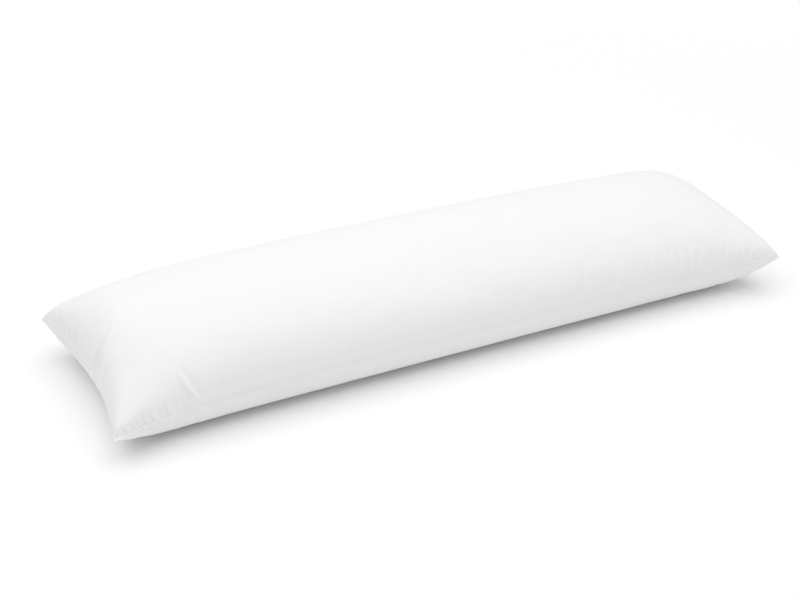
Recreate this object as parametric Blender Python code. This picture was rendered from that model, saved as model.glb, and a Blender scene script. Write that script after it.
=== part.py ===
"""Body pillow: a long case of two cotton panels, sewn edge to edge round all four sides,
filled plump and lying on its lower panel.

The pillow's length runs along X and its width along Y, near edge at -Y. The floor is z = 0.
"along" and "across" go from -1 to 1 between the end seams and between the side seams.
"""
import math
import random

import bmesh
import bpy
from mathutils import Vector

# Case as filled, in metres
LENGTH = 1.435            # corner to corner, about 1.52 m as cut and sewn flat
WIDTH = 0.450             # corner to corner, about 0.51 m as cut and sewn flat
SIDE_DRAW_IN = 0.024      # how far each long seam stands inside its corners at mid length
LEFT_END_DRAW_IN = 0.027
RIGHT_END_DRAW_IN = 0.017
SEAM_LIP = 0.003          # sewn edge that stands out of the filled shape

# Height of the sewn edge above the floor
SIDE_SEAM_HEIGHT = 0.0785
END_SEAM_HEIGHT = 0.068
CORNER_HEIGHT = {
    ("left", "near"): 0.059,
    ("left", "far"): 0.072,
    ("right", "near"): 0.079,
    ("right", "far"): 0.072,
}

# Upper panel: its crown above the seam
CROWN = 0.132
CROWN_LEAN = -0.14        # share by which the filling is fuller towards the left end
CROWN_SPREAD = -0.117     # share by which both ends are lower than the middle
CROWN_ROUND_ACROSS = 1.91
END_SHOULDER = {"left": 6.95, "right": 11.2}
END_STEEPNESS = 0.30

# Lower panel: the part that is pressed flat on the floor, as shares of length and width
FLAT_ALONG = 0.79
FLAT_ACROSS = 0.53
TURN_UP_POWER = 2.1
TURN_UP_ROOT = 0.48

# How suddenly the edges curve in plan and in height towards the corners
SIDE_PLAN_POWER = 7.6
END_PLAN_POWER = 10.0
END_PLAN_ROUND = 2.0
CORNER_ALONG_POWER = 5.7
CORNER_ACROSS_POWER = 2.0
END_SEAM_POWER = 5.2

# Mesh: columns of one half by zone, from the middle outwards, and rows from side to side
COLUMN_ZONES = (
    # zone, outer limit in metres from the middle, columns
    ("middle", 0.34, 8),
    ("shoulder", 0.52, 8),
    ("corner puckers", 0.70, 30),
)
END_COLUMNS = 5
END_COLUMN_GRADE = 3.3
ROWS = 28

# Single creases. Root and tip are places along the seam, reach goes up the panel from it,
# and a positive depth is a ridge. All in metres.
CREASES = (
    # edge, panel, root, tip, reach, width, depth
    ("near", "upper", -0.5460, -0.5830, 0.110, 0.017, 0.0080),
    ("near", "upper", -0.5280, -0.5600, 0.100, 0.020, -0.0070),
    ("near", "upper", -0.2700, -0.2780, 0.130, 0.026, 0.0026),
    ("near", "upper", 0.0600, 0.0420, 0.130, 0.030, -0.0026),
    ("left", "upper", -0.0500, -0.0240, 0.130, 0.028, -0.0095),
    ("left", "upper", -0.0200, 0.0100, 0.110, 0.030, 0.0045),
    ("left", "upper", -0.0980, -0.0900, 0.110, 0.030, -0.0065),
    ("left", "upper", 0.0500, 0.0440, 0.090, 0.030, -0.0050),
    ("right", "upper", 0.0700, 0.0500, 0.110, 0.030, -0.0060),
    ("right", "upper", -0.0800, -0.0600, 0.100, 0.030, -0.0050),
    ("far", "upper", -0.5700, -0.5950, 0.100, 0.018, -0.0060),
    ("far", "upper", 0.5500, 0.5850, 0.100, 0.018, -0.0065),
)

# Runs of short puckers where the sewing thread gathers the cloth, towards the corners
PUCKER_RUNS = (
    # edge, panel, start, end, pitch, reach, depth
    ("near", "upper", -0.700, -0.565, 0.0190, 0.054, 0.0040),
    ("near", "upper", -0.500, -0.410, 0.0230, 0.050, 0.0018),
    ("near", "upper", 0.505, 0.700, 0.0178, 0.066, 0.0030),
    ("near", "upper", 0.290, 0.480, 0.0300, 0.090, 0.0014),
    ("far", "upper", -0.700, -0.560, 0.0190, 0.054, 0.0032),
    ("far", "upper", 0.540, 0.700, 0.0190, 0.058, 0.0032),
    ("near", "lower", -0.690, -0.560, 0.0210, 0.040, 0.0022),
    ("near", "lower", 0.540, 0.690, 0.0210, 0.040, 0.0022),
    ("far", "lower", -0.690, -0.560, 0.0210, 0.040, 0.0022),
    ("far", "lower", 0.540, 0.690, 0.0210, 0.040, 0.0022),
)
PUCKER_SEED = 21
PUCKER_UNEVENNESS = 0.35


def fall_off(share, core, power, root):
    """1 over the core, then down to 0 at the seam, leaving the core without a bend."""
    beyond_core = min(max((share - core) / (1.0 - core), 0.0), 1.0)
    return max(1.0 - beyond_core ** power, 0.0) ** root


def end_name(along):
    return "left" if along < 0.0 else "right"


def side_name(across):
    return "near" if across < 0.0 else "far"


def plan_place(along, across):
    """The place of a panel point seen from above, inside the drawn-in edges."""
    draw_in = LEFT_END_DRAW_IN if along < 0.0 else RIGHT_END_DRAW_IN
    end_bow = draw_in * (1.0 - abs(across) ** END_PLAN_ROUND) * abs(along) ** END_PLAN_POWER
    side_bow = SIDE_DRAW_IN * (1.0 - abs(along) ** SIDE_PLAN_POWER)
    return along * (LENGTH / 2.0 - end_bow), across * (WIDTH / 2.0 - side_bow)


def seam_height(along, across):
    """The height of the sewn edge, carried on over the panel between its edges."""
    at_corner = abs(along) ** CORNER_ALONG_POWER * abs(across) ** CORNER_ACROSS_POWER
    at_end = abs(along) ** END_SEAM_POWER * (1.0 - at_corner)
    at_side = 1.0 - at_end - at_corner
    corner = CORNER_HEIGHT[end_name(along), side_name(across)]
    return SIDE_SEAM_HEIGHT * at_side + END_SEAM_HEIGHT * at_end + corner * at_corner


def upper_place(along, across):
    x, y = plan_place(along, across)
    round_across = math.sqrt(max(1.0 - abs(across) ** CROWN_ROUND_ACROSS, 0.0))
    round_along = fall_off(abs(along), 0.0, END_SHOULDER[end_name(along)], END_STEEPNESS)
    fullness = 1.0 + CROWN_LEAN * along + CROWN_SPREAD * along ** 2
    rise = CROWN * round_across * round_along * fullness
    return Vector((x, y, seam_height(along, across) + rise))


def lower_place(along, across):
    x, y = plan_place(along, across)
    pressed_across = fall_off(abs(across), FLAT_ACROSS, TURN_UP_POWER, TURN_UP_ROOT)
    pressed_along = fall_off(abs(along), FLAT_ALONG, TURN_UP_POWER, TURN_UP_ROOT)
    return Vector((x, y, seam_height(along, across) * (1.0 - pressed_across * pressed_along)))


def pucker_creases():
    """Each run of puckers as single creases, a little uneven in place, reach and depth."""
    chance = random.Random(PUCKER_SEED)
    creases = []
    for edge, panel, start, end, pitch, reach, depth in PUCKER_RUNS:
        count = round((end - start) / pitch) + 1
        for number in range(count):
            uneven = [chance.uniform(-PUCKER_UNEVENNESS, PUCKER_UNEVENNESS) for _ in range(4)]
            root = start + (end - start) * number / (count - 1) + pitch * uneven[0] / 2.0
            tip = root + pitch * uneven[1]
            creases.append((edge, panel, root, tip, reach * (1.0 + uneven[2]), pitch / 2.0,
                            -depth * (1.0 + uneven[3])))
    return creases


def crease_height(crease, place, along, across):
    """How far one crease lifts or sinks a point of the panel."""
    edge, _, root, tip, reach, width, depth = crease
    if edge in ("near", "far"):
        side = -1.0 if edge == "near" else 1.0
        seam_x, seam_y = plan_place(along, side)
        seam = Vector((seam_x, seam_y, seam_height(along, side)))
        station = place.x
    else:
        end = -1.0 if edge == "left" else 1.0
        seam_x, seam_y = plan_place(end, across)
        seam = Vector((seam_x, seam_y, seam_height(end, across)))
        station = place.y
    travel = (place - seam).length / reach
    if travel >= 1.0:
        return 0.0
    line = root + (tip - root) * travel
    profile = math.exp(-(2.0 * (station - line) / width) ** 2)
    fade = (1.0 - travel) ** 1.2 * min(travel * 8.0, 1.0)
    return depth * profile * fade


def column_stations():
    """The columns' places from -1 to 1, closest where the cloth puckers and turns down."""
    half = [0.0]
    inner = 0.0
    for _, outer, columns in COLUMN_ZONES:
        half += [(inner + (outer - inner) * (i + 1) / columns) * 2.0 / LENGTH for i in range(columns)]
        inner = outer
    end_zone = 1.0 - half[-1]
    half += [1.0 - end_zone * (1.0 - (i + 1) / END_COLUMNS) ** END_COLUMN_GRADE for i in range(END_COLUMNS)]
    return [-share for share in reversed(half[1:])] + half


def row_stations():
    return [math.sin(math.pi * (row / ROWS - 0.5)) for row in range(ROWS + 1)]


def sewn_panel(bm, name, shape, columns, rows, creases):
    """One cut panel, a flat grid, shaped and creased. Returns its vertices on the sewn edge."""
    column_count = len(columns) - 1
    before = set(bm.verts)
    bmesh.ops.create_grid(bm, x_segments=column_count, y_segments=ROWS, size=1.0)
    verts = [vert for vert in bm.verts if vert not in before]
    faces = [face for face in bm.faces if face.verts[0] not in before]
    stations = {}
    for vert in verts:
        column = round((vert.co.x + 1.0) / 2.0 * column_count)
        row = round((vert.co.y + 1.0) / 2.0 * ROWS)
        stations[vert] = (columns[column], rows[row])
        vert.co = shape(*stations[vert])
    if name == "lower":
        bmesh.ops.reverse_faces(bm, faces=faces)
    bm.normal_update()
    edge_verts = [vert for vert in verts if vert.is_boundary]
    own_creases = [crease for crease in creases if crease[1] == name]
    relief = {}
    for vert in verts:
        if not vert.is_boundary:
            height = sum(crease_height(crease, vert.co, *stations[vert]) for crease in own_creases)
            relief[vert] = vert.normal * height
    for vert, move in relief.items():
        vert.co += move
        vert.co.z = max(vert.co.z, 0.0)
    for vert in edge_verts:
        along, across = stations[vert]
        outwards = Vector((along ** 31, across ** 31, 0.0))
        vert.co += outwards.normalized() * SEAM_LIP
    return edge_verts


def cotton():
    material = bpy.data.materials.new("cotton")
    material.use_nodes = True
    surface = material.node_tree.nodes["Principled BSDF"]
    surface.inputs["Base Color"].default_value = (0.90, 0.90, 0.90, 1.0)
    surface.inputs["Roughness"].default_value = 0.85
    surface.inputs["Metallic"].default_value = 0.0
    return material


def pillow(collection):
    bm = bmesh.new()
    columns = column_stations()
    rows = row_stations()
    creases = list(CREASES) + pucker_creases()
    seam_verts = sewn_panel(bm, "upper", upper_place, columns, rows, creases)
    seam_verts += sewn_panel(bm, "lower", lower_place, columns, rows, creases)
    bmesh.ops.remove_doubles(bm, verts=seam_verts, dist=0.00001)
    mesh = bpy.data.meshes.new("pillow")
    bm.to_mesh(mesh)
    bm.free()
    mesh.shade_smooth()
    mesh.set_sharp_from_angle(angle=math.radians(60.0))
    mesh.materials.append(cotton())
    body = bpy.data.objects.new("pillow", mesh)
    collection.objects.link(body)
    return body


for old in list(bpy.data.objects):
    bpy.data.objects.remove(old)
body_pillow = bpy.data.collections.new("body pillow")
bpy.context.scene.collection.children.link(body_pillow)
pillow(body_pillow)
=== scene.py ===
"""A long white body pillow, plumply filled, lying on its lower panel on a plain pale floor.

All places and sizes are in metres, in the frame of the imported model: the pillow's length along X,
its near side at -Y, the floor at z = 0.
"""
import math

import bmesh
import bpy
import numpy as np
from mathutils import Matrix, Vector


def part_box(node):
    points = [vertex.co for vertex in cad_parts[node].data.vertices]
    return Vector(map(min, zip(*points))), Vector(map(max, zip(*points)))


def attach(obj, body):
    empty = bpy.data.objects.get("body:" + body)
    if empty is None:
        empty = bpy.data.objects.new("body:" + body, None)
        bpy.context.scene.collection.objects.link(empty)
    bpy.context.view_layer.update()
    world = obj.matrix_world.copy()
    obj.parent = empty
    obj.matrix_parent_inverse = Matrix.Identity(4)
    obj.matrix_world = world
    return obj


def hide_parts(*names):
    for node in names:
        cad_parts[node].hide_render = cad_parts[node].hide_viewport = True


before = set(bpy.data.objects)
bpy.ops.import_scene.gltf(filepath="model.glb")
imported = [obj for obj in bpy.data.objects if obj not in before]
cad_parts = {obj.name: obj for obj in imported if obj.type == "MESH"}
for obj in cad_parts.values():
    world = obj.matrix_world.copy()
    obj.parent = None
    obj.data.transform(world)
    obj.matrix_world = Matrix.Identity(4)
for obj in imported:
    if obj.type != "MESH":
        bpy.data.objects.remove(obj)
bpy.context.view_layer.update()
pillow_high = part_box("pillow")[1]
bpy.ops.object.select_all(action="DESELECT")


# The case: two equal panels of close white cotton, cut 153 x 51 cm and sewn to each other all
# round. Filling draws the flat case in, so that the long sides and the ends bow inwards between
# the four corners, and the lower panel is pressed flat where it lies on the floor.
SEAM_LIP = 0.003
HALF_LENGTH = pillow_high.x - SEAM_LIP
HALF_WIDTH = 0.2252
CUT_HALF_LENGTH = 0.765
CUT_HALF_WIDTH = 0.256

SIDE_DRAW_IN = 0.0237
END_DRAW_IN = {"left": 0.0267, "right": 0.0167}
SIDE_PLAN_POWER = 7.6
END_PLAN_POWER = 10.6

SIDE_SEAM_HEIGHT = 0.0785
END_SEAM_HEIGHT = 0.0682
CORNER_HEIGHT = {"left near": 0.0592, "left far": 0.0719, "right near": 0.079, "right far": 0.0719}
CORNER_POWER = (5.67, 2.0)
END_SEAM_POWER = 5.17

CROWN = 0.1321
CROWN_LEAN = -0.1404
CROWN_SPREAD = -0.1169
CROWN_ROUND = 1.914
END_SHOULDER = {"left": 6.95, "right": 11.16}
END_STEEPNESS = 0.30

FLAT_ALONG = 0.7925
FLAT_ACROSS = 0.5264
TURN_UP_POWER = 2.1
TURN_UP_ROOT = 0.47

# Columns of one half of a panel, from its middle out: limit on the cut cloth, columns
COLUMN_ZONES = (
    ("middle", 0.500, 40),
    ("shoulder", 0.600, 14),
    ("corner puckers", CUT_HALF_LENGTH, 34),
)
ROWS = 62

# Cloth is measured on this many points a line, closer together towards the seams
MEASURING_POINTS = 1601
MEASURING_CLOSENESS = 1.5
SAME_POINT = 0.00001


def fall_off(share, core, power, root):
    """1 over the core, then down to 0 at the seam, leaving the core without a bend."""
    beyond_core = np.clip((np.abs(share) - core) / (1.0 - core), 0.0, 1.0)
    return np.clip(1.0 - beyond_core ** power, 0.0, 1.0) ** root


def left_or_right(along, values):
    return np.where(along < 0.0, values["left"], values["right"])


def plan_place(along, across):
    """The place of a point seen from above, inside the drawn-in edges."""
    end_bow = left_or_right(along, END_DRAW_IN) * (1.0 - across ** 2) * np.abs(along) ** END_PLAN_POWER
    side_bow = SIDE_DRAW_IN * (1.0 - np.abs(along) ** SIDE_PLAN_POWER)
    return along * (HALF_LENGTH - end_bow), across * (HALF_WIDTH - side_bow)


def seam_height(along, across):
    """The height of the sewn edge, carried on over the panels between the edges."""
    at_corner = np.abs(along) ** CORNER_POWER[0] * np.abs(across) ** CORNER_POWER[1]
    at_end = np.abs(along) ** END_SEAM_POWER * (1.0 - at_corner)
    near = left_or_right(along, {"left": CORNER_HEIGHT["left near"], "right": CORNER_HEIGHT["right near"]})
    far = left_or_right(along, {"left": CORNER_HEIGHT["left far"], "right": CORNER_HEIGHT["right far"]})
    corner = np.where(across < 0.0, near, far)
    side_share = 1.0 - at_end - at_corner
    return SIDE_SEAM_HEIGHT * side_share + END_SEAM_HEIGHT * at_end + corner * at_corner


def upper_place(along, across):
    x, y = plan_place(along, across)
    rise = CROWN * fall_off(across, 0.0, CROWN_ROUND, 0.5)
    rise = rise * fall_off(along, 0.0, left_or_right(along, END_SHOULDER), END_STEEPNESS)
    rise = rise * (1.0 + CROWN_LEAN * along + CROWN_SPREAD * along ** 2)
    return np.stack([x, y, seam_height(along, across) + rise], axis=-1)


def lower_place(along, across):
    x, y = plan_place(along, across)
    pressed = fall_off(across, FLAT_ACROSS, TURN_UP_POWER, TURN_UP_ROOT)
    pressed = pressed * fall_off(along, FLAT_ALONG, TURN_UP_POWER, TURN_UP_ROOT)
    return np.stack([x, y, seam_height(along, across) * (1.0 - pressed)], axis=-1)


def shares_by_cloth(place_at, wanted):
    """The shares from -1 to 1 that the wanted shares of the cloth's length come to on a line of
    the filled case, mean of its upper and its lower panel."""
    fine = np.sin(np.linspace(-1.0, 1.0, MEASURING_POINTS) * math.pi / 2.0)
    fine = np.sign(fine) * (1.0 - (1.0 - np.abs(fine)) ** MEASURING_CLOSENESS)
    upper, lower = place_at(fine)
    steps = np.linalg.norm(np.diff(upper, axis=0), axis=1) + np.linalg.norm(np.diff(lower, axis=0), axis=1)
    cloth = np.concatenate([[0.0], np.cumsum(steps)])
    middle = np.interp(0.0, fine, cloth)
    left = (cloth - middle) / middle
    right = (cloth - middle) / (cloth[-1] - middle)
    return np.interp(wanted, np.where(fine < 0.0, left, right), fine)


def cut_columns():
    """Places of the columns on the cut cloth, closest towards both ends."""
    half = [0.0]
    for _, limit, columns in COLUMN_ZONES:
        half += list(np.linspace(half[-1], limit, columns + 1)[1:])
    return np.array([-place for place in reversed(half[1:])] + half)


cut_x = cut_columns()
cut_y = np.linspace(-CUT_HALF_WIDTH, CUT_HALF_WIDTH, ROWS + 1)
COLUMNS = len(cut_x) - 1
along = np.zeros((COLUMNS + 1, ROWS + 1))
across = np.zeros((COLUMNS + 1, ROWS + 1))
for row, place in enumerate(cut_y / CUT_HALF_WIDTH):
    along[:, row] = shares_by_cloth(
        lambda fine: (upper_place(fine, 0 * fine + place), lower_place(fine, 0 * fine + place)),
        cut_x / CUT_HALF_LENGTH)
for column, place in enumerate(cut_x / CUT_HALF_LENGTH):
    across[column] = shares_by_cloth(
        lambda fine: (upper_place(0 * fine + place, fine), lower_place(0 * fine + place, fine)),
        cut_y / CUT_HALF_WIDTH)


def laid_panel(name, shape, side):
    """One cut panel, a flat grid, brought to its filled shape. Each of its points remembers its
    column, its row, its place on the cut cloth and its side, +1 up and -1 down."""
    bpy.ops.mesh.primitive_grid_add(x_subdivisions=COLUMNS, y_subdivisions=ROWS, size=2.0)
    panel = bpy.context.object
    panel.name = name
    mesh = panel.data
    flat = np.zeros(len(mesh.vertices) * 3, np.float32)
    mesh.vertices.foreach_get("co", flat)
    flat = flat.reshape(-1, 3)
    column = np.rint((flat[:, 0] + 1.0) / 2.0 * COLUMNS).astype(int)
    row = np.rint((flat[:, 1] + 1.0) / 2.0 * ROWS).astype(int)
    place = shape(along[column, row], across[column, row])
    mesh.vertices.foreach_set("co", place.astype(np.float32).ravel())
    at_seam = (column % COLUMNS == 0) | (row % ROWS == 0)
    for attribute, kind, values in (
        ("column", "INT", column),
        ("row", "INT", row),
        ("cut_x", "FLOAT", cut_x[column]),
        ("cut_y", "FLOAT", cut_y[row]),
        ("side", "FLOAT", np.where(at_seam, 0.0, side)),
    ):
        mesh.attributes.new(attribute, kind, "POINT").data.foreach_set("value", values)
    if side < 0.0:
        mesh.flip_normals()
    return panel


upper_panel = laid_panel("upper_panel", upper_place, 1.0)
lower_panel = laid_panel("lower_panel", lower_place, -1.0)
bpy.ops.object.select_all(action="DESELECT")
lower_panel.select_set(True)
upper_panel.select_set(True)
bpy.context.view_layer.objects.active = upper_panel
bpy.ops.object.join()
pillow = upper_panel
pillow.name = "cotton_pillow"
bpy.ops.object.mode_set(mode="EDIT")
bpy.ops.mesh.select_mode(type="VERT")
bpy.ops.mesh.select_all(action="DESELECT")
bpy.ops.mesh.select_non_manifold()
bpy.ops.mesh.remove_doubles(threshold=SAME_POINT)
bpy.ops.object.mode_set(mode="OBJECT")


def read_points(name="position", size=3):
    """One of the pillow's point attributes as an array."""
    values = np.zeros(len(pillow.data.vertices) * size, np.float32)
    key = "vector" if size == 3 else "value"
    pillow.data.attributes[name].data.foreach_get(key, values)
    return values.reshape(-1, 3) if size == 3 else values


def read_normals():
    normals = np.zeros(len(pillow.data.vertices) * 3, np.float32)
    pillow.data.vertices.foreach_get("normal", normals)
    return normals.reshape(-1, 3)


def write_points(places):
    pillow.data.vertices.foreach_set("co", places.astype(np.float32).ravel())
    pillow.data.update()


# The filling isn't even: it stands out more along the near side and at the left shoulder, and the
# near left corner and the right shoulder are slack where they turn to the end.
SWELLS = (
    # side, place on the cut cloth, reach along and across the pillow, turn, lift
    (1, -0.466, -0.186, 0.160, 0.076, 0.00, 0.0092),
    (1, -0.175, -0.201, 0.175, 0.070, 0.00, 0.0050),
    (1, 0.090, -0.207, 0.200, 0.056, 0.00, 0.0030),
    (1, 0.554, -0.155, 0.230, 0.088, 0.00, 0.0044),
    (1, -0.649, 0.014, 0.038, 0.095, 0.00, 0.0044),
    (1, -0.704, -0.152, 0.080, 0.076, 0.38, -0.0066),
    (1, -0.639, -0.140, 0.100, 0.036, 0.53, -0.0022),
    (1, -0.703, -0.238, 0.090, 0.022, 0.25, 0.0032),
    (1, -0.592, -0.195, 0.064, 0.043, 0.00, 0.0014),
    (1, -0.722, 0.105, 0.034, 0.090, 0.00, 0.0040),
    (1, 0.670, -0.218, 0.060, 0.026, 0.00, 0.0016),
    (1, 0.700, -0.090, 0.054, 0.120, 0.20, -0.0032),
    (-1, -0.400, -0.190, 0.260, 0.032, 0.00, 0.0024),
    (-1, 0.000, -0.190, 0.260, 0.032, 0.00, 0.0022),
    (-1, 0.400, -0.190, 0.260, 0.032, 0.00, 0.0030),
)
SWELL_START = 0.036

point_x, point_y = read_points("cut_x", 1), read_points("cut_y", 1)
from_seam = np.minimum(CUT_HALF_WIDTH - np.abs(point_y), CUT_HALF_LENGTH - np.abs(point_x))
start = np.clip(from_seam / SWELL_START, 0.0, 1.0)
start = start * start * (3.0 - 2.0 * start)
swell = np.zeros(len(point_x))
for side, x, y, reach_along, reach_across, turn, lift in SWELLS:
    run = (point_x - x) * math.cos(turn) + (point_y - y) * math.sin(turn)
    aside = (point_y - y) * math.cos(turn) - (point_x - x) * math.sin(turn)
    bulge = lift * np.exp(-(run / reach_along) ** 2 - (aside / reach_across) ** 2)
    swell += np.where(read_points("side", 1) * side > 0.0, bulge, 0.0)
swollen = read_points() + read_normals() * (swell * start)[:, None]
swollen[:, 2] = np.maximum(swollen[:, 2], 0.0)
write_points(swollen)


# Settling: the panels were cut flat, so on the filled case there is cloth to spare along the
# seams, which the filling pushes into small creases. The cloth is let go against the filling's
# pressure with the lengths of the flat cut, and a share of the creases that this brings is kept.
FILLING_PRESSURE = 6.0
SETTLING_FRAMES = 20
LARGEST_MOVE = 0.006
BROAD_SWELL_CELLS = 5.0
CREASE_SHARE = 0.2
TOUCHING_FLOOR = 0.000001


def smoothed(grid, cells):
    """The grid's values averaged over that many cells each way, its edges kept."""
    reach = int(3 * cells)
    weights = np.exp(-0.5 * (np.arange(-reach, reach + 1) / cells) ** 2)
    weights /= weights.sum()
    for axis in (0, 1):
        grid = np.moveaxis(grid, axis, 0)
        before = 2.0 * grid[:1] - grid[reach:0:-1]
        after = 2.0 * grid[-1:] - grid[-2:-reach - 2:-1]
        longer = np.concatenate([before, grid, after])
        grid = sum(weight * longer[i:i + len(grid)] for i, weight in enumerate(weights))
        grid = np.moveaxis(grid, 0, axis)
    return grid


def settle():
    filled = read_points()
    column, row = read_points("column", 1).astype(int), read_points("row", 1).astype(int)
    side = read_points("side", 1)
    pillow.shape_key_add(name="filled")
    cut_flat = pillow.shape_key_add(name="cut flat")
    flat = np.stack([cut_x[column], cut_y[row], np.zeros(len(row))], axis=-1)
    cut_flat.data.foreach_set("co", flat.astype(np.float32).ravel())
    cut_flat.value = 0.0
    on_floor = pillow.vertex_groups.new(name="on the floor")
    on_floor.add(np.flatnonzero(filled[:, 2] < TOUCHING_FLOOR).tolist(), 1.0, "ADD")
    modifier = pillow.modifiers.new("settle", "CLOTH")
    cloth = modifier.settings
    cloth.quality = 6
    cloth.tension_stiffness = 15.0
    cloth.compression_stiffness = 15.0
    cloth.shear_stiffness = 5.0
    cloth.bending_stiffness = 0.01
    cloth.air_damping = 3.0
    cloth.use_pressure = True
    cloth.uniform_pressure_force = FILLING_PRESSURE
    cloth.effector_weights.gravity = 0.0
    cloth.rest_shape_key = cut_flat
    cloth.vertex_group_mass = on_floor.name
    modifier.point_cache.frame_end = SETTLING_FRAMES
    for moment in range(1, SETTLING_FRAMES + 1):
        bpy.context.scene.frame_set(moment)
    settled = pillow.evaluated_get(bpy.context.evaluated_depsgraph_get()).data
    places = np.zeros(len(filled) * 3, np.float32)
    settled.vertices.foreach_get("co", places)
    move = places.reshape(-1, 3) - filled
    creased = np.zeros_like(move)
    for panel_side in (1.0, -1.0):
        of_panel = side != -panel_side
        grid = np.zeros((COLUMNS + 1, ROWS + 1, 3))
        grid[column[of_panel], row[of_panel]] = move[of_panel]
        fine = grid - smoothed(grid, BROAD_SWELL_CELLS)
        creased[of_panel] = fine[column[of_panel], row[of_panel]]
    size = np.linalg.norm(creased, axis=1, keepdims=True)
    creased *= CREASE_SHARE * np.minimum(1.0, LARGEST_MOVE / np.maximum(size, 0.000001))
    pillow.modifiers.remove(modifier)
    pillow.shape_key_clear()
    write_points(filled + creased)


settle()
pillow.vertex_groups.clear()
bpy.context.scene.frame_set(1)

edges = pillow.data.edges
ends = np.zeros(len(edges) * 2, int)
edges.foreach_get("vertices", ends)
seam_points = read_points("side", 1) == 0.0
sewn = seam_points[ends.reshape(-1, 2)].all(axis=1)
creasing = pillow.data.attributes.new("crease_edge", "FLOAT", "EDGE")
creasing.data.foreach_set("value", sewn.astype(np.float32))
finer = pillow.modifiers.new("finer", "SUBSURF")
finer.levels = 1
finer.render_levels = 1
bpy.ops.object.modifier_apply(modifier=finer.name)


# Creases: the longer folds that stand out in the cloth, each placed one by one, and the short puckers
# square to the seams where the sewing thread gathers the cloth towards the corners.
CREASES = (
    # side, from x and y on the cut cloth, to x and y, bow, width, fullest at, lift above the cloth
    (1, -0.5785, -0.2510, -0.5965, -0.1760, 0.0050, 0.0104, 0.36, 0.0044),
    (1, -0.5690, -0.2490, -0.5940, -0.1780, -0.0010, 0.0120, 0.42, -0.0032),
    (1, -0.5930, -0.2480, -0.6080, -0.2060, 0.0000, 0.0080, 0.40, -0.0020),
    (1, -0.5280, -0.2360, -0.5300, -0.1960, 0.0000, 0.0070, 0.50, -0.0008),
    (1, -0.2820, -0.2450, -0.2900, -0.1300, 0.0000, 0.0240, 0.35, 0.0012),
    (1, 0.0620, -0.2450, 0.0440, -0.1300, 0.0000, 0.0280, 0.35, -0.0012),
    (1, -0.7620, -0.0200, -0.6620, -0.0290, -0.0225, 0.0122, 0.37, -0.0084),
    (1, -0.7580, -0.0320, -0.6600, -0.0400, -0.0230, 0.0150, 0.38, 0.0034),
    (1, -0.7630, -0.0080, -0.6500, 0.0010, -0.0125, 0.0420, 0.39, -0.0027),
    (1, -0.7560, -0.0580, -0.7060, -0.0690, 0.0000, 0.0110, 0.45, -0.0024),
    (1, -0.7590, -0.0970, -0.6860, -0.1080, 0.0000, 0.0120, 0.40, -0.0022),
    (1, -0.7590, -0.1260, -0.7000, -0.1400, 0.0000, 0.0160, 0.40, -0.0012),
    (1, 0.7590, 0.0780, 0.6700, 0.0560, 0.0000, 0.0160, 0.35, -0.0010),
    (1, 0.7590, -0.0880, 0.6750, -0.0660, 0.0000, 0.0180, 0.35, -0.0010),
    (1, -0.7660, -0.2570, -0.7400, -0.2370, 0.0000, 0.0240, 0.30, -0.0034),
    (1, -0.6000, 0.2520, -0.6140, 0.1660, 0.0000, 0.0110, 0.35, -0.0022),
    (1, 0.5800, 0.2520, 0.5950, 0.1660, 0.0000, 0.0110, 0.35, -0.0024),
)
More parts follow.
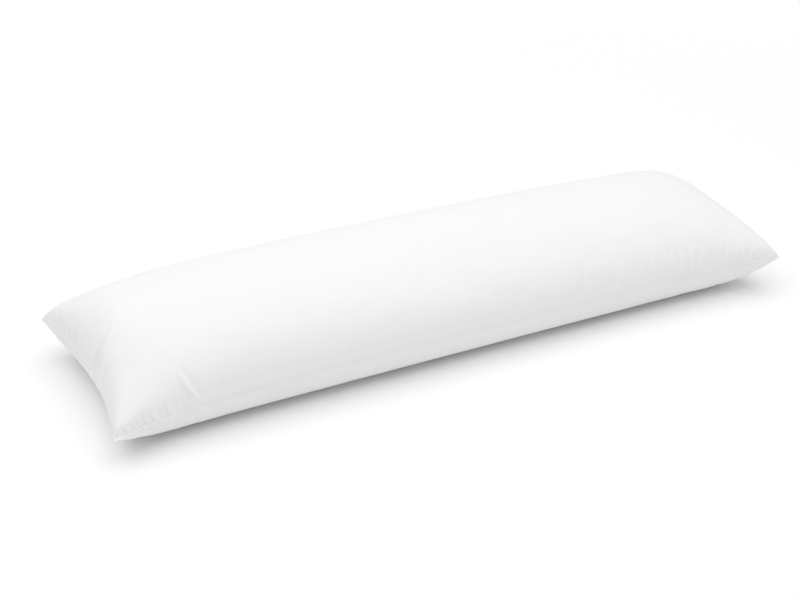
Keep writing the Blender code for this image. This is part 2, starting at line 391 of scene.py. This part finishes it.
SEAM_PUCKERS = (
    # seam, root and tip along it, start and reach up the upper panel, width, depth
    ("near", -0.7385, -0.7340, 0.000, 0.026, 0.0066, 0.0035),
    ("near", -0.7210, -0.7165, 0.000, 0.022, 0.0066, 0.0034),
    ("near", -0.7085, -0.7035, 0.001, 0.025, 0.0064, 0.0034),
    ("near", -0.6975, -0.6890, 0.000, 0.030, 0.0072, 0.0046),
    ("near", -0.6795, -0.6765, 0.001, 0.028, 0.0068, 0.0040),
    ("near", -0.6615, -0.6580, 0.000, 0.024, 0.0064, 0.0028),
    ("near", -0.6500, -0.6450, 0.000, 0.032, 0.0072, 0.0036),
    ("near", -0.6380, -0.6370, 0.001, 0.018, 0.0060, 0.0012),
    ("near", -0.6265, -0.6210, 0.004, 0.038, 0.0072, 0.0036),
    ("near", -0.6140, -0.6090, 0.005, 0.031, 0.0068, 0.0038),
    ("near", -0.6065, -0.6045, 0.005, 0.025, 0.0056, 0.0022),
    ("near", -0.5990, -0.5975, 0.003, 0.022, 0.0056, 0.0022),
    ("left", 0.2230, 0.2190, 0.001, 0.026, 0.0080, 0.0022),
    ("left", 0.2075, 0.2020, 0.002, 0.034, 0.0090, 0.0032),
    ("left", 0.1920, 0.1850, 0.002, 0.032, 0.0085, 0.0028),
    ("left", 0.1780, 0.1700, 0.003, 0.030, 0.0085, 0.0028),
    ("left", 0.1580, 0.1440, 0.004, 0.042, 0.0092, 0.0046),
    ("left", 0.1310, 0.1210, 0.003, 0.040, 0.0085, 0.0042),
    ("left", 0.1050, 0.0990, 0.004, 0.040, 0.0090, 0.0048),
    ("left", 0.0880, 0.0840, 0.003, 0.028, 0.0075, 0.0022),
    ("left", 0.0740, 0.0670, 0.005, 0.048, 0.0098, 0.0050),
    ("left", 0.0600, 0.0570, 0.004, 0.040, 0.0076, 0.0036),
    ("left", 0.0440, 0.0400, 0.005, 0.040, 0.0082, 0.0038),
    ("left", 0.0300, 0.0260, 0.002, 0.030, 0.0082, 0.0036),
    ("left", 0.0190, 0.0150, 0.000, 0.022, 0.0076, 0.0030),
    ("left", -0.0160, -0.0190, 0.002, 0.024, 0.0080, 0.0018),
    ("near", 0.7270, 0.7285, 0.004, 0.026, 0.0070, 0.0015),
    ("near", 0.7120, 0.7150, 0.004, 0.030, 0.0066, 0.0009),
    ("near", 0.7000, 0.7030, 0.006, 0.036, 0.0080, 0.0017),
    ("near", 0.6895, 0.6925, 0.006, 0.030, 0.0066, 0.0013),
    ("near", 0.6750, 0.6820, 0.006, 0.050, 0.0084, 0.0019),
    ("near", 0.6660, 0.6690, 0.006, 0.030, 0.0070, 0.0014),
    ("near", 0.6535, 0.6575, 0.008, 0.044, 0.0080, 0.0015),
    ("near", 0.6410, 0.6450, 0.008, 0.052, 0.0086, 0.0015),
    ("near", 0.6270, 0.6300, 0.008, 0.036, 0.0074, 0.0008),
    ("near", 0.6145, 0.6205, 0.008, 0.064, 0.0098, 0.0012),
    ("near", 0.5990, 0.6030, 0.008, 0.038, 0.0084, 0.0009),
    ("near", 0.5790, 0.5845, 0.006, 0.052, 0.0104, 0.0014),
    ("near", 0.5650, 0.5660, 0.008, 0.038, 0.0090, 0.0008),
    ("near", 0.5490, 0.5570, 0.010, 0.076, 0.0124, 0.0017),
    ("near", 0.5300, 0.5230, 0.010, 0.084, 0.0136, 0.0017),
    ("near", 0.5060, 0.4990, 0.010, 0.090, 0.0140, 0.0018),
)
PUCKER_RUNS = (
    # seam, side, from and to along the seam, pitch, lean, start and reach up the panel, depth
    ("near", 1, -0.552, -0.430, 0.0170, 0.002, 0.003, 0.030, 0.0009),
    ("near", 1, 0.270, 0.480, 0.0260, 0.002, 0.010, 0.092, 0.0021),
    ("far", 1, -0.745, -0.590, 0.0150, 0.004, 0.002, 0.036, 0.0022),
    ("far", 1, 0.570, 0.745, 0.0150, -0.004, 0.002, 0.038, 0.0022),
    ("left", 1, -0.240, -0.035, 0.0150, 0.002, 0.002, 0.030, 0.0015),
    ("right", 1, -0.235, 0.235, 0.0160, 0.002, 0.002, 0.036, 0.0014),
    ("near", -1, -0.735, -0.590, 0.0150, 0.003, 0.002, 0.026, 0.0012),
    ("near", -1, 0.570, 0.735, 0.0150, -0.003, 0.002, 0.026, 0.0012),
    ("far", -1, -0.735, -0.590, 0.0150, 0.003, 0.002, 0.028, 0.0014),
    ("far", -1, 0.570, 0.735, 0.0150, -0.003, 0.002, 0.028, 0.0014),
    ("left", -1, -0.235, 0.235, 0.0150, 0.002, 0.002, 0.028, 0.0014),
    ("right", -1, -0.235, 0.235, 0.0160, 0.002, 0.002, 0.028, 0.0012),
)
PUCKER_UNEVENNESS = 0.35
PUCKER_FULLEST = 0.38
PUCKER_WIDTH_IN_PITCHES = 0.55
PUCKER_SEED = 7
RUN_OUT = 1.6
LIP = 0.45
WIDTH_AT_ROOT = 0.85
WIDENING = 0.4


def crease_depth(x, y, of_side, crease):
    """How far one crease lifts or sinks each point of its panel, with a low lip on either side."""
    side, from_x, from_y, to_x, to_y, bow, width, fullest, lift = crease
    length = math.hypot(to_x - from_x, to_y - from_y)
    run_x, run_y = (to_x - from_x) / length, (to_y - from_y) / length
    share = np.clip(((x - from_x) * run_x + (y - from_y) * run_y) / length, 0.0, 1.0)
    aside = (y - from_y) * run_x - (x - from_x) * run_y - bow * np.sin(math.pi * share)
    off = (2.0 * aside / (width * (WIDTH_AT_ROOT + WIDENING * share))) ** 2
    rise, fade = RUN_OUT * fullest, RUN_OUT * (1.0 - fullest)
    lobe = (share / fullest) ** rise * ((1.0 - share) / (1.0 - fullest)) ** fade
    return np.where(of_side * side > 0.0, lift * (1.0 - LIP * off) * np.exp(-off) * lobe, 0.0)


def seam_line(seam, root, tip, start, reach):
    """The ends of a pucker on the cut cloth, from its place along a seam and its reach from it."""
    return {
        "near": (root, start - CUT_HALF_WIDTH, tip, reach - CUT_HALF_WIDTH),
        "far": (root, CUT_HALF_WIDTH - start, tip, CUT_HALF_WIDTH - reach),
        "left": (start - CUT_HALF_LENGTH, root, reach - CUT_HALF_LENGTH, tip),
        "right": (CUT_HALF_LENGTH - start, root, CUT_HALF_LENGTH - reach, tip),
    }[seam]


def run_of_puckers(chance, seam, side, first, last, pitch, lean, start, reach, depth):
    """Short troughs side by side, uneven in place, lean, reach, width and depth."""
    count = round((last - first) / pitch) + 1
    for place in np.linspace(first, last, count):
        uneven = 1.0 + chance.uniform(-PUCKER_UNEVENNESS, PUCKER_UNEVENNESS, 5)
        root = place + pitch * (uneven[0] - 1.0)
        tip = root + lean + pitch * (uneven[1] - 1.0)
        line = seam_line(seam, root, tip, start, reach * uneven[2])
        width = PUCKER_WIDTH_IN_PITCHES * pitch * uneven[3]
        yield (side,) + line + (0.0, width, PUCKER_FULLEST, -depth * uneven[4])


chance = np.random.default_rng(PUCKER_SEED)
all_creases = list(CREASES)
for seam, root, tip, start, reach, width, depth in SEAM_PUCKERS:
    line = seam_line(seam, root, tip, start, reach)
    all_creases.append((1,) + line + (0.0, width, PUCKER_FULLEST, -depth))
for run in PUCKER_RUNS:
    all_creases += list(run_of_puckers(chance, *run))
x, y, of_side = read_points("cut_x", 1), read_points("cut_y", 1), read_points("side", 1)
depth = sum(crease_depth(x, y, of_side, crease) for crease in all_creases)
places = read_points() + read_normals() * depth[:, None]
places[:, 2] = np.maximum(places[:, 2], 0.0)
write_points(places)


# Sewn edge: where the two panels are sewn face to face and turned, their folded edges stand out
# all round as a narrow ridge of doubled cotton, which the thread draws in a little at each stitch.
EDGE_PROFILE = (
    # out from the seam, up or down from its middle
    (-0.0005, 0.0007),
    (0.0011, 0.0005),
    (0.0015, 0.0000),
)
EDGE_UNEVENNESS = 0.05
EDGE_SEED = 11
EDGE_CLOSED_WITHIN = 0.0001
SMOOTH_BELOW = 50.0


def seam_outwards(work, side_of):
    """For each point of the seam, the level direction that leads straight out of the pillow."""
    beside = {}
    for edge in work.edges:
        if all(abs(vert[side_of]) < 0.001 for vert in edge.verts):
            for vert in edge.verts:
                beside.setdefault(vert, []).append(edge.other_vert(vert).co)
    directions = {}
    for vert, (one, other) in beside.items():
        run = other - one
        outwards = Vector((run.y, -run.x, 0.0)).normalized()
        from_middle = Vector((vert.co.x / HALF_LENGTH, vert.co.y / HALF_WIDTH, 0.0))
        directions[vert] = outwards if outwards.dot(from_middle) > 0.0 else -outwards
    return directions


def put_in_order(parts, place_of):
    """Number the mesh's parts by their place, because an extrusion makes new ones in any order."""
    for number, part in enumerate(sorted(parts, key=place_of)):
        part.index = number
    parts.sort()


work = bmesh.new()
work.from_mesh(pillow.data)
side_of = work.verts.layers.float["side"]
outwards_of = work.verts.layers.float_vector.new("outwards")
unevenness = np.random.default_rng(EDGE_SEED)
for vert, outwards in seam_outwards(work, side_of).items():
    vert[outwards_of] = outwards * (1.0 + unevenness.uniform(-EDGE_UNEVENNESS, EDGE_UNEVENNESS))
sewn_edges = [edge for edge in work.edges if all(abs(vert[side_of]) < 0.001 for vert in edge.verts)]
bmesh.ops.split_edges(work, edges=sewn_edges)
for panel_side in (1.0, -1.0):
    border = [edge for edge in work.edges if edge.is_boundary and len(edge.link_faces) == 1
              and sum(vert[side_of] for vert in edge.link_faces[0].verts) * panel_side > 0.001]
    points = {vert: vert.co.copy() for edge in border for vert in edge.verts}
    for step, (out, up) in enumerate(EDGE_PROFILE):
        if step > 0:
            before = {tuple(vert.co): vert for vert in points}
            grown = bmesh.ops.extrude_edge_only(work, edges=border)["geom"]
            border = [part for part in grown if isinstance(part, bmesh.types.BMEdge) and part.is_boundary]
            new_points = {vert for edge in border for vert in edge.verts}
            points = {vert: points[before[tuple(vert.co)]] for vert in new_points}
        for vert, place in points.items():
            vert.co = place + Vector(vert[outwards_of]) * out + Vector((0.0, 0.0, up * panel_side))
open_points = [vert for vert in work.verts if vert.is_boundary]
bmesh.ops.remove_doubles(work, verts=open_points, dist=EDGE_CLOSED_WITHIN)
put_in_order(work.verts, lambda vert: tuple(vert.co))
put_in_order(work.edges, lambda edge: tuple(edge.verts[0].co + edge.verts[1].co))
put_in_order(work.faces, lambda face: tuple(face.calc_center_median()))
bmesh.ops.recalc_face_normals(work, faces=work.faces)
work.to_mesh(pillow.data)
work.free()

bpy.ops.object.select_all(action="DESELECT")
pillow.select_set(True)
bpy.context.view_layer.objects.active = pillow
bpy.ops.object.shade_smooth_by_angle(angle=math.radians(SMOOTH_BELOW))


# Cotton: a close plain weave, bleached white, softly crumpled from being packed and with a slub
# here and there. Warp runs along the pillow and weft across it, as on the cut cloth.
class Amount:
    """A number socket of a finish, on which plain arithmetic adds Math nodes."""

    def __init__(self, finish, socket):
        self.finish = finish
        self.socket = socket

    def __add__(self, other):
        return self.finish.maths("ADD", self, other)

    __radd__ = __add__

    def __sub__(self, other):
        return self.finish.maths("SUBTRACT", self, other)

    def __rsub__(self, other):
        return self.finish.maths("SUBTRACT", other, self)

    def __mul__(self, other):
        return self.finish.maths("MULTIPLY", self, other)

    __rmul__ = __mul__


class Finish:
    """A material whose nodes are made one by one around its Principled shader."""

    def __init__(self, name):
        self.material = bpy.data.materials.new(name)
        self.material.use_nodes = True
        self.tree = self.material.node_tree
        self.shader = self.tree.nodes["Principled BSDF"]

    def node(self, kind, settings=None, inputs=None, output=0):
        node = self.tree.nodes.new(kind)
        for name, value in (settings or {}).items():
            setattr(node, name, value)
        for name, value in (inputs or {}).items():
            self.feed(node.inputs[name], value)
        return Amount(self, node.outputs[output])

    def feed(self, socket, value):
        if isinstance(value, Amount):
            self.tree.links.new(value.socket, socket)
        else:
            socket.default_value = value

    def maths(self, operation, *values):
        return self.node("ShaderNodeMath", {"operation": operation}, dict(enumerate(values)))

    def noise(self, place, scale, detail=2.0, roughness=0.5):
        """Noise from -1 to 1, its scale in repeats a metre, one value for each direction."""
        stretched = self.node("ShaderNodeVectorMath", {"operation": "MULTIPLY"}, {0: place, 1: scale})
        value = self.node("ShaderNodeTexNoise", {}, {
            "Vector": stretched, "Scale": 1.0, "Detail": detail, "Roughness": roughness})
        return (value - 0.5) * 2.0

    def blend(self, share, one, other):
        return self.node("ShaderNodeMix", {"data_type": "RGBA", "clamp_factor": True},
                         {0: share, 6: one, 7: other}, output=2)


COTTON_WHITE = (0.905, 0.905, 0.914, 1.0)
COTTON_SHADE = (0.865, 0.865, 0.873, 1.0)
SLUB_HEIGHT = 0.00004
CRUMPLE_HEIGHT = 0.0008
RUMPLE_HEIGHT = 0.0014
PANELS_APART = 0.02

cotton = Finish("white_cotton")
cloth_place = cotton.node("ShaderNodeAttribute", {"attribute_name": "cloth_place"}, output=1)
warp_slubs = cotton.noise(cloth_place, (60.0, 1700.0, 50.0), 2.0)
weft_slubs = cotton.noise(cloth_place, (1700.0, 60.0, 50.0), 2.0)
crumple = cotton.noise(cloth_place, (24.0, 34.0, 20.0), 3.0, 0.45)
cloudy = cotton.noise(cloth_place, (5.0, 7.0, 5.0), 2.0)
rumple = cotton.noise(cloth_place, (13.0, 17.0, 10.0), 2.0, 0.4)
slubs = warp_slubs + weft_slubs
shading = slubs * 0.10 + cloudy * 0.25 + 0.4
cotton.feed(cotton.shader.inputs["Base Color"], cotton.blend(shading, COTTON_WHITE, COTTON_SHADE))
cotton.feed(cotton.shader.inputs["Roughness"], slubs * 0.04 + cloudy * 0.03 + 0.86)
cotton.shader.inputs["Specular IOR Level"].default_value = 0.25
cotton.shader.inputs["Sheen Weight"].default_value = 0.12
cotton.shader.inputs["Sheen Roughness"].default_value = 0.6
relief = slubs * SLUB_HEIGHT + crumple * CRUMPLE_HEIGHT + rumple * RUMPLE_HEIGHT
cotton.feed(cotton.shader.inputs["Normal"], cotton.node("ShaderNodeBump", {}, {
    "Strength": 1.0, "Distance": 1.0, "Height": relief}))

panel_height = read_points("side", 1) * PANELS_APART
cut_place = np.stack([read_points("cut_x", 1), read_points("cut_y", 1), panel_height], axis=-1)
cloth_attribute = pillow.data.attributes.new("cloth_place", "FLOAT_VECTOR", "POINT")
cloth_attribute.data.foreach_set("vector", cut_place.astype(np.float32).ravel())
pillow.data.materials.clear()
pillow.data.materials.append(cotton.material)

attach(pillow, "root")
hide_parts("pillow")


# The floor: a very wide, plain, matt white sheet under the pillow, lit a little more towards its
# far reaches, so that it is as pale there as it is close by.
FLOOR_WIDTH = 180.0
FAR_GLOW = 0.46
GLOW_FROM, GLOW_TO = 0.8, 5.5
NO_GLOW = (0.0, 0.0, 0.0, 1.0)
FULL_GLOW = (1.0, 1.0, 1.0, 1.0)

bpy.ops.mesh.primitive_plane_add(size=FLOOR_WIDTH, location=(0.0, 0.0, 0.0))
floor = bpy.context.object
floor.name = "floor"
paper = Finish("white_paper")
paper.shader.inputs["Base Color"].default_value = (0.97, 0.97, 0.97, 1.0)
paper.shader.inputs["Roughness"].default_value = 0.95
paper.shader.inputs["Specular IOR Level"].default_value = 0.1
paper.shader.inputs["Emission Strength"].default_value = FAR_GLOW
floor_place = paper.node("ShaderNodeTexCoord", output=3)
from_middle = paper.node("ShaderNodeVectorMath", {"operation": "LENGTH"}, {0: floor_place}, output=1)
far_share = paper.node("ShaderNodeMapRange", {"interpolation_type": "SMOOTHSTEP"}, {
    "Value": from_middle, "From Min": GLOW_FROM, "From Max": GLOW_TO})
paper.feed(paper.shader.inputs["Emission Color"], paper.blend(far_share, NO_GLOW, FULL_GLOW))
floor.data.materials.append(paper.material)


# Light: one wide soft box above the pillow, and an even pale surround, which together leave a
# soft shadow close around it.
SURROUND = 0.545
SOFT_BOX_SIZE = (6.0, 5.0)
SOFT_BOX_PLACE = Vector((-0.30, 0.12, 3.5))
SOFT_BOX_POWER = 114.5

surround = bpy.data.worlds.new("surround")
surround.use_nodes = True
surround.node_tree.nodes["Background"].inputs["Color"].default_value = (1.0, 1.0, 1.0, 1.0)
surround.node_tree.nodes["Background"].inputs["Strength"].default_value = SURROUND
bpy.context.scene.world = surround
bpy.ops.object.light_add(type="AREA", location=SOFT_BOX_PLACE)
soft_box = bpy.context.object
soft_box.name = "soft_box"
soft_box.data.shape = "RECTANGLE"
soft_box.data.size, soft_box.data.size_y = SOFT_BOX_SIZE
soft_box.data.energy = SOFT_BOX_POWER
bpy.context.scene.view_settings.view_transform = "Standard"


# Camera: in front of the near side and well to the left, looking down along the pillow from the
# photograph's angle, with a long lens.
CAMERA_AIM = Vector((-0.0829, -0.0656, 0.1))
CAMERA_DISTANCE = 3.2317
CAMERA_HEIGHT_ANGLE = math.radians(29.237)
CAMERA_TURN = math.radians(-26.814)
LENS = 74.69

back = Vector((
    math.sin(CAMERA_TURN) * math.cos(CAMERA_HEIGHT_ANGLE),
    -math.cos(CAMERA_TURN) * math.cos(CAMERA_HEIGHT_ANGLE),
    math.sin(CAMERA_HEIGHT_ANGLE),
))
bpy.ops.object.camera_add(location=CAMERA_AIM + back * CAMERA_DISTANCE)
camera = bpy.context.object
camera.rotation_euler = back.to_track_quat("Z", "Y").to_euler()
camera.data.lens = LENS
bpy.context.scene.camera = camera
